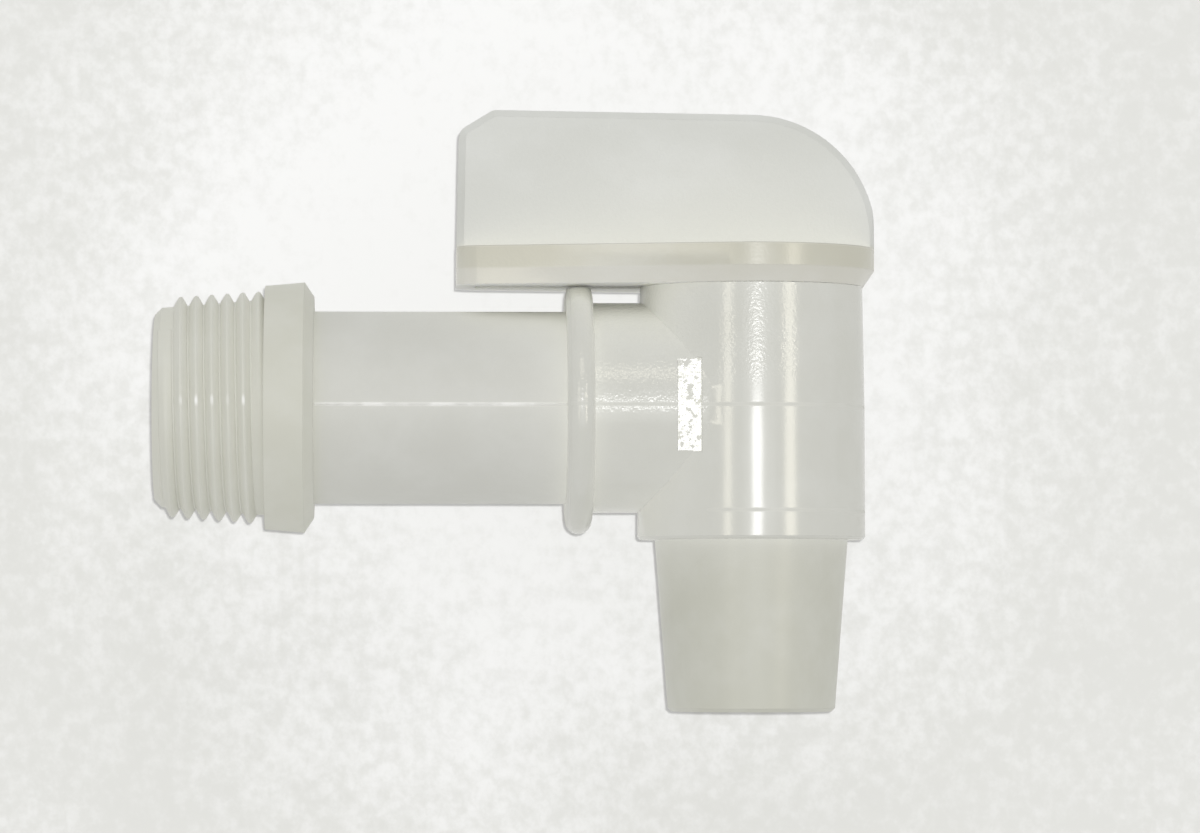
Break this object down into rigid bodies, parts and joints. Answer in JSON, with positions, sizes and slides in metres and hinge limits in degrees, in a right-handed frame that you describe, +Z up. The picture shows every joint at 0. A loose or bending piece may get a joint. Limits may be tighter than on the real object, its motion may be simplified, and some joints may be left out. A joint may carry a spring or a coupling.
{
  "type": "drum spigot",
  "caption": "Milky plastic quarter-turn spigot: threaded inlet with collar, round tube with a bead, upright valve barrel with tapered spout, and a lever handle on a hollow rotary plug.",
  "frame": {"origin": "centre of the collar's seating face on the inlet axis, where the thread ends", "axes": "+X along the inlet axis from the drum to the spout, +Z up along the valve's axis, spout downwards"},
  "size_m": [0.0845, 0.0298, 0.0704],
  "materials": {
    "body_polyethylene": "satin to glossy natural polyethylene, milky",
    "handle_polyethylene": "matte natural polyethylene, milky"
  },
  "bodies": {
    "body": {"tap_body": "body_polyethylene"},
    "handle": {"handle_plug": "handle_polyethylene"}
  },
  "joints": [
    {"name": "handle_turn", "type": "hinge", "parent": "body", "child": "handle", "pos_m": [0.0571, 0, 0], "axis": [0, 0, 1], "range_deg": [-90, 90]}
  ]
}
